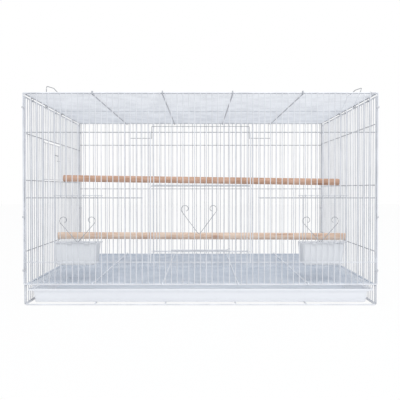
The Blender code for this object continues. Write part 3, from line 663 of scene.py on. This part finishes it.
# Door catch
# A thin wire bail over the centre door. Its feet lie behind the bars and turn there, so it swings
# down over the raised door and holds it.

catch_radius = 0.0007
catch_low, catch_top, catch_x = 0.3587, 0.3835, 0.1041
catch_foot = 0.046
catch_bend = 0.0014
catch_step = bar_radius + slack + catch_radius
behind, ahead = bar_depth - catch_step, bar_depth + catch_step
catch_half = [(catch_x + catch_foot, catch_low, behind), (catch_x, catch_low, behind)]
catch_half += [(catch_x, catch_low, ahead), (catch_x, catch_top, ahead)]
mirrored = [(-x, z, depth) for x, z, depth in catch_half]
along, height, out = np.array(mirrored + catch_half[::-1]).T
catch_line = rounded(front(along, out, height), catch_bend, steps=6)
catch = wire(catch_line, catch_radius, sides=10)
# The catch wears the scrolls' grey copy of the coat, painted shade.
piece("door_catch_wire", catch, "door_catch", shaded_scroll_coat, ["door_catch"])


# Tray
# One moulding of white polypropylene with drafted sides and a rim, standing on the base wires.
# It pulls out at the front under the floor grille, and a thin greyer sheet over its floor is painted
# shade under the grille.

tray_half_x, tray_half_y, tray_corner = 0.3755, 0.220, 0.006
tray_place = (0, -0.0005, 0)
tray_edge = 0.0012


def round_rectangle(half_x, half_y, radius, steps=10):
    """The line round a rectangle with round corners: corner centre plus radius (cos a, sin a)."""
    a = np.linspace(0, np.pi / 2, steps)[None, :] + np.arange(4)[:, None] * np.pi / 2
    centre_x = (half_x - radius) * np.array((1, -1, -1, 1))[:, None]
    centre_y = (half_y - radius) * np.array((1, 1, -1, -1))[:, None]
    return np.stack((centre_x + radius * np.cos(a), centre_y + radius * np.sin(a)), -1).reshape(-1, 2)


def box_moulding(half_x, half_y, radius, profile, centre):
    """A round rectangle, pulled in by each profile step's two insets and set at its height."""
    rings = []
    for inset_x, inset_y, height in profile:
        line = round_rectangle(half_x - inset_x, half_y - inset_y, max(radius - inset_y * 0.1, 0.002))
        rings.append(np.column_stack((line, np.full(len(line), height))) + centre)
    return np.vstack(rings), ring_faces(len(rings), len(rings[0]), False)


def rounded_profile(points, reach, steps=4):
    """A profile of (inset along x, inset along y, height) points in millimetres, its corners bent."""
    return rounded(0.001 * np.asarray(points, float), reach, steps=steps)


def moulded_plastic(name, colour, shade):
    """Moulded polypropylene: faint flow patches, a fine matt grain, and a few soft scratches."""
    material, tree, surface, place = finish(name)
    flow = noise(tree, place, 7, 3, (1, 3, 2))
    tree.links.new(graded(tree, flow, ((0.3, shade), (0.7, colour))), surface.inputs["Base Color"])
    tree.links.new(ranged(tree, flow, 0.3, 0.7, 0.34, 0.46), surface.inputs["Roughness"])
    grain = noise(tree, place, 2200, 2)
    scratches = noise(tree, place, 260, 2, (0.05, 1, 1))
    dented(tree, surface, ((grain, 0.00003, 0.3), (scratches, 0.00003, 0.15)))
    surface.inputs["IOR"].default_value = 1.49
    return material


tray_plastic = moulded_plastic("tray_plastic", (0.93, 0.94, 0.96), (0.90, 0.91, 0.94))
tray_outside = [(70, 60, 3.4), (14, 7.5, 3.4), (10.5, 4, 29.5), (0, 0, 29.5), (0, 0, 33.5)]
tray_inside = [(12.5, 6, 33.5), (16, 9.5, 5.4), (70, 60, 5.4)]
tray_profile = rounded_profile(tray_outside + tray_inside, tray_edge)
tray = box_moulding(tray_half_x, tray_half_y, tray_corner, tray_profile, tray_place)
piece("tray_moulding", tray, "tray", tray_plastic, ["tray"], 30)
# A greyer, bluer copy of the tray's plastic on a thin sheet over its floor: painted shade.
shaded_tray_floor_plastic = moulded_plastic("shaded_tray_floor_plastic", (0.79, 0.83, 0.88), (0.74, 0.78, 0.84))
floor_profile = [(0.016, 0.0095, 0.0053), (0.0164, 0.0099, 0.0056)]
tray_floor = box_moulding(tray_half_x, tray_half_y, tray_corner, floor_profile, tray_place)
piece("tray_floor", tray_floor, "tray", shaded_tray_floor_plastic, ["tray"], 30)


# Cups
# Small moulded boxes for seed or water behind the feeder doors.
# Two flat hooks moulded on the front rim hang each one on the doorway's sill.

cup_half_x, cup_half_y, cup_corner = 0.046, 0.025, 0.006
cup_edge = 0.0008
cup_face = -0.22405
rim_inset = 0.0009
cup_hook_place = 1.5 * bar_pitch
cup_hook_thick, cup_hook_wide, cup_hook_bend = 0.0010, 0.0070, 0.0007
rim_place, sill_place = cup_face + rim_inset, -0.2278
rim_height, over_sill, cup_hook_tip = 0.1290, 0.13685, 0.13235
# A greyer copy of the white plastic: painted shade on the cups inside the cage.
shaded_cup_plastic = moulded_plastic("shaded_cup_plastic", (0.78, 0.79, 0.81), (0.72, 0.735, 0.76))
cup_outside = [(12, 12, 85.0), (5.8, 5.8, 85.0), (3.6, 3.6, 87.5), (0, 0, 132.0)]
cup_inside = [(1.8, 1.8, 132.0), (5.6, 5.6, 88.6), (8, 8, 86.8), (12, 12, 86.8)]
cup_profile = rounded_profile(cup_outside + cup_inside, cup_edge)
strip = np.array(((1, 1), (-1, 1), (-1, -1), (1, -1))) * (cup_hook_thick / 2, cup_hook_wide / 2)
for name, side, shift in (("left_cup", -1, -0.0085), ("right_cup", 1, 0.003)):
    middle = side * feeder_middle
    place = (middle + shift, cup_face + cup_half_y, 0)
    parts = [box_moulding(cup_half_x, cup_half_y, cup_corner, cup_profile, place)]
    for x in (middle - cup_hook_place, middle + cup_hook_place):
        line = [(x, rim_place, rim_height), (x, rim_place, over_sill)]
        line += [(x, sill_place, over_sill), (x, sill_place, cup_hook_tip)]
        parts.append(carried(rounded(line, cup_hook_bend, steps=4), strip, (1, 0, 0)))
    piece(name + "_moulding", together(*parts), name, shaded_cup_plastic, [name], 30)


# Perches
# Two softwood dowels laid across the cage on the end walls' cross wires.
# A sawn slot in each end goes over an upright wire and stops the dowel rolling.

dowel_radius = 0.0092
dowel_end = 0.380
dowel_play = 0.0003
dowel_sides = 40
slot_half = 0.00135
slot_depth = 0.0020
end_edge = 0.0004


def softwood(name, pale, warm, dark, start):
    """Bare softwood: streaks stretched along the dowel, browner patches, and raised fibres."""
    material, tree, surface, place = finish(name)
    shift = node_of(tree, "ShaderNodeMapping")
    shift.inputs["Location"].default_value = start
    tree.links.new(place, shift.inputs["Vector"])
    place = shift.outputs["Vector"]
    broad = noise(tree, place, 30, 4, (0.55, 1.6, 1.6))
    streak = noise(tree, place, 160, 4, (0.10, 1, 1))
    total = node_of(tree, "ShaderNodeMath", operation="MULTIPLY_ADD")
    tree.links.new(streak, total.inputs[0])
    total.inputs[1].default_value = 0.5
    tree.links.new(broad, total.inputs[2])
    stops = ((0.52, dark), (0.66, warm), (0.86, pale))
    tree.links.new(graded(tree, total.outputs["Value"], stops), surface.inputs["Base Color"])
    tree.links.new(ranged(tree, streak, 0.3, 0.7, 0.72, 0.55), surface.inputs["Roughness"])
    fibres = noise(tree, place, 900, 3, (0.04, 1, 1))
    dented(tree, surface, ((streak, 0.0003, 0.5), (fibres, 0.00015, 0.5)))
    return material


def dowel(start, end):
    """A slightly uneven round bar with slotted ends: r (1 + small waves of place and of angle)."""
    start, end = np.asarray(start, float), np.asarray(end, float)
    along = unit(end - start)
    side = unit(np.cross((0, 0, 1), along))
    up = np.cross(along, side)
    angle = np.arange(dowel_sides) * 2 * np.pi / dowel_sides
    length = np.linalg.norm(end - start)
    solid = length / 2 - slot_half
    place = np.linspace(-solid + 0.01, solid - 0.01, 60)
    place = np.concatenate(((-solid, -solid + end_edge), place, (solid - end_edge, solid)))[:, None]
    waves = 0.006 * np.sin(place * 41 + 2 * angle) + 0.005 * np.sin(place * 17 + 3 * angle + 1)
    radius = dowel_radius * (0.988 + waves)
    middle = (start + end) / 2
    offset = radius[..., None] * (np.cos(angle)[:, None] * side + np.sin(angle)[:, None] * up)
    skin = middle + place[..., None] * along + offset
    parts = [(skin.reshape(-1, 3), ring_faces(len(place), dowel_sides, False))]
    edge = dowel_radius * 0.975
    cut = math.asin(slot_half / edge)
    arc = np.linspace(-math.pi / 2 + cut, math.pi / 2 - cut, 20)
    half_disc = edge * np.stack((np.cos(arc), np.sin(arc)), -1)
    for end_sign in (-1, 1):
        for half in (-1, 1):
            points = half_disc * (half, half)
            reaches = np.array((solid - end_edge, solid + slot_depth))[:, None]
            ends = (middle + along * end_sign * reaches)[::end_sign]
            rim = ends[:, None] + points[None, :, :1] * side + points[None, :, 1:] * up
            parts.append((rim.reshape(-1, 3), ring_faces(2, 20, False)))
    return together(*parts)


def laid(bars, rails):
    """A dowel between the end walls, each end at its bar and on its cross wire, a little above it."""
    rise = bar_radius + dowel_radius + dowel_play
    left_end = (-dowel_end, bars[0] * bar_pitch, rails[0] + rise)
    right_end = (dowel_end, bars[1] * bar_pitch, rails[1] + rise)
    return dowel(left_end, right_end)


red_browns = ((0.69, 0.44, 0.32), (0.58, 0.345, 0.235), (0.38, 0.205, 0.14))
straw_browns = ((0.84, 0.66, 0.53), (0.75, 0.54, 0.41), (0.55, 0.35, 0.26))
upper_wood = softwood("upper_wood", *red_browns, (0, 0, 0))
lower_wood = softwood("lower_wood", *straw_browns, (3, 1, 2))
upper_dowel = laid((5, 4), (left_rails[1], right_rails[1]))
lower_dowel = laid((1, -1), (left_rails[0], right_rails[0]))
piece("upper_dowel", upper_dowel, "cage", upper_wood, ["upper_perch"], 50)
piece("lower_dowel", lower_dowel, "cage", lower_wood, ["lower_perch"], 50)


# Handles
# Stiff zinc-plated wire bent in a bail, its ends curled into eyes round the roof's side wires.
# The left one stands up; the right one leans out.

handle_radius = 0.00105
handle_half = 4.5 * bar_pitch
handle_shift = -1.5 * bar_pitch
eye_radius = 0.0036
leg_start = 0.0058
shoulder_radius = 0.010
shoulder_height = 0.040
crown_rise = 0.006
handle_zinc = zinc_plate("handle_zinc", (0.42, 0.43, 0.45), (0.29, 0.30, 0.32), 380)
eye = np.radians(np.linspace(300, 35, 26))
eye_line = np.column_stack((-np.sin(eye), np.zeros(len(eye)), np.cos(eye)))
eye_line = eye_radius * eye_line + (0, handle_half, 0)
bend = np.linspace(0, np.pi / 2, 12)
bend_line = np.column_stack((0 * bend, np.cos(bend) - 1, np.sin(bend)))
bend_line = shoulder_radius * bend_line + (0, handle_half, shoulder_height)
rise = np.linspace(0, 1, 8)[1:]
crown_half = handle_half - shoulder_radius
crown_line = np.column_stack((0 * rise, crown_half * (1 - rise), crown_rise * rise))
crown_line += (0, 0, shoulder_height + shoulder_radius)
half_bail = np.vstack((eye_line, (0, handle_half, leg_start), bend_line, crown_line))
bail = np.vstack((half_bail, (half_bail * (1, -1, 1))[-2::-1]))
for name, side, lean in (("left_handle", -1, 2), ("right_handle", 1, 24)):
    tilt = math.radians(lean)
    out = bail[:, 0] * math.cos(tilt) + bail[:, 2] * math.sin(tilt)
    height = bail[:, 2] * math.cos(tilt) - bail[:, 0] * math.sin(tilt)
    line = np.column_stack((side * (end_place + out), side * bail[:, 1], height))
    line += (0, handle_shift, roof_middle)
    piece(name + "_wire", wire(line, handle_radius, sides=12), name, handle_zinc, [name])


# Bands
# Strips of zinc-plated steel crimped round two border wires, of two walls or of a wall and the roof.
# The roof's right front corner has a wider one.

strip_thick = 0.0008
strip_inset = 0.0005
band_bend = 0.0011
wall_band_width, roof_band_width, sleeve_width = 0.004, 0.003, 0.0092
band_zinc = zinc_plate("band_zinc", (0.66, 0.67, 0.70), (0.46, 0.47, 0.50), 700)


def band_profile(wide):
    """A strip's section: its thickness by its width, with small round edges."""
    return round_rectangle(strip_thick / 2, wide / 2, strip_thick * 0.3, 4)


def crimped(node, axis, wide):
    """A strip closed round the sides of its CAD band's box, just inside them, its corners bent."""
    low, high = (np.array(corner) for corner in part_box(node))
    middle = (low + high) / 2
    half = (high - low) / 2 - strip_inset
    a, b = [i for i in range(3) if i != axis]
    corners = np.tile(middle, (4, 1))
    corners[:, a] += half[a] * np.array((-1, 1, 1, -1))
    corners[:, b] += half[b] * np.array((-1, -1, 1, 1))
    across = np.zeros(3)
    across[axis] = 1
    return carried(rounded(corners, band_bend, closed=True), band_profile(wide), across, True)


bands = []
for end in ("front", "back"):
    for side in ("left", "right"):
        bands += [(f"{end}_{side}_clip_{at}", 2, wall_band_width) for at in ("low", "middle", "high")]
for side in ("left", "right"):
    bands += [(f"{side}_roof_clip_{at}", 1, roof_band_width) for at in ("front", "middle", "back")]
bands.append(("corner_sleeve", 0, sleeve_width))
for node, axis, wide in bands:
    piece(node + "_strip", crimped(node, axis, wide), "cage", band_zinc, [node])


# Base staples
# The same strip, bent over a base wire and a wall's bottom wire, with both ends open to the ground.

staple_bend = 0.0009


def stapled(node, axis):
    """A strip up, over and down inside the box of its CAD staple, corners bent."""
    low, high = (np.array(corner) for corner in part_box(node))
    middle = (low + high) / 2
    cross = 1 - axis
    left_end, right_end = low[cross] + strip_inset, high[cross] - strip_inset
    over = high[2] - strip_inset
    line = np.tile(middle, (4, 1))
    line[:, cross] = (left_end, left_end, right_end, right_end)
    line[:, 2] = (low[2], over, over, low[2])
    across = np.zeros(3)
    across[axis] = 1
    return carried(rounded(line, staple_bend), band_profile(high[axis] - low[axis]), across)


staples = [(f"{side}_base_clip_{end}", 1) for side in ("left", "right") for end in ("front", "back")]
staples += [(f"back_base_clip_{side}", 0) for side in ("left", "right")]
for node, axis in staples:
    piece(node + "_strip", stapled(node, axis), "cage", band_zinc, [node])


# Room
# A pale floor and an even white surround with one soft lamp above the front.
# The camera stands straight in front, a little above the middle of the cage's height.

floor_glow = 0.94  # how much of the floor's plain white the camera sees; the rest keeps the shadow
floor_mesh = bpy.data.meshes.new("studio_floor")
floor_mesh.from_pydata([(-6, -6, 0), (6, -6, 0), (6, 6, 0), (-6, 6, 0)], [], [(0, 1, 2, 3)])
floor_item = bpy.data.objects.new("studio_floor", floor_mesh)
bpy.context.collection.objects.link(floor_item)
floor_finish = bpy.data.materials.new("studio_floor")
floor_finish.use_nodes = True
tree = floor_finish.node_tree
tree.nodes["Principled BSDF"].inputs["Base Color"].default_value = (0.9, 0.9, 0.9, 1)
tree.nodes["Principled BSDF"].inputs["Roughness"].default_value = 0.9
path = tree.nodes.new("ShaderNodeLightPath")
white = node_of(tree, "ShaderNodeEmission", Strength=1.0)
seen = node_of(tree, "ShaderNodeMath", operation="MULTIPLY")
tree.links.new(path.outputs["Is Camera Ray"], seen.inputs[0])
seen.inputs[1].default_value = floor_glow
blend = tree.nodes.new("ShaderNodeMixShader")
tree.links.new(seen.outputs["Value"], blend.inputs["Fac"])
tree.links.new(tree.nodes["Principled BSDF"].outputs["BSDF"], blend.inputs[1])
tree.links.new(white.outputs["Emission"], blend.inputs[2])
tree.links.new(blend.outputs["Shader"], tree.nodes["Material Output"].inputs["Surface"])
floor_mesh.materials.append(floor_finish)

world = bpy.data.worlds.new("studio")
bpy.context.scene.world = world
world.use_nodes = True
tree = world.node_tree
sky = tree.nodes["Background"]
sky.inputs["Color"].default_value = (0.93, 0.96, 1.0, 1)
sky.inputs["Strength"].default_value = 0.78
plain = node_of(tree, "ShaderNodeBackground", Strength=1.0)
plain.inputs["Color"].default_value = (1, 1, 1, 1)
path = tree.nodes.new("ShaderNodeLightPath")
direct = node_of(tree, "ShaderNodeMath", operation="MAXIMUM")
backdrop = node_of(tree, "ShaderNodeMath", operation="MAXIMUM")
tree.links.new(path.outputs["Is Camera Ray"], direct.inputs[0])
tree.links.new(path.outputs["Is Glossy Ray"], direct.inputs[1])
tree.links.new(direct.outputs["Value"], backdrop.inputs[0])
tree.links.new(path.outputs["Is Transmission Ray"], backdrop.inputs[1])
blend = tree.nodes.new("ShaderNodeMixShader")
tree.links.new(backdrop.outputs["Value"], blend.inputs["Fac"])
tree.links.new(sky.outputs["Background"], blend.inputs[1])
tree.links.new(plain.outputs["Background"], blend.inputs[2])
tree.links.new(blend.outputs["Shader"], tree.nodes["World Output"].inputs["Surface"])

lamp = bpy.data.lights.new("soft_lamp", "AREA")
lamp.shape = "RECTANGLE"
lamp.size, lamp.size_y = 2.4, 1.6
lamp.energy = 26
lamp_item = bpy.data.objects.new("soft_lamp", lamp)
bpy.context.collection.objects.link(lamp_item)
lamp_item.location = (0.5, -1.6, 2.0)
lamp_item.rotation_euler = (math.radians(42), 0, math.radians(14))

front_face = -0.2285
camera_distance = 0.966
camera_height = 0.251
camera = bpy.data.cameras.new("camera")
camera.lens = 40.61
camera.sensor_width = 36
camera.shift_x, camera.shift_y = -0.0023, -0.0109
camera.clip_start, camera.clip_end = 0.05, 50
camera_item = bpy.data.objects.new("camera", camera)
bpy.context.collection.objects.link(camera_item)
camera_item.location = (0.001, front_face - camera_distance, camera_height)
camera_item.rotation_euler = (math.radians(89.1), 0, 0)
bpy.context.scene.camera = camera_item
bpy.context.scene.view_settings.view_transform = "Standard"
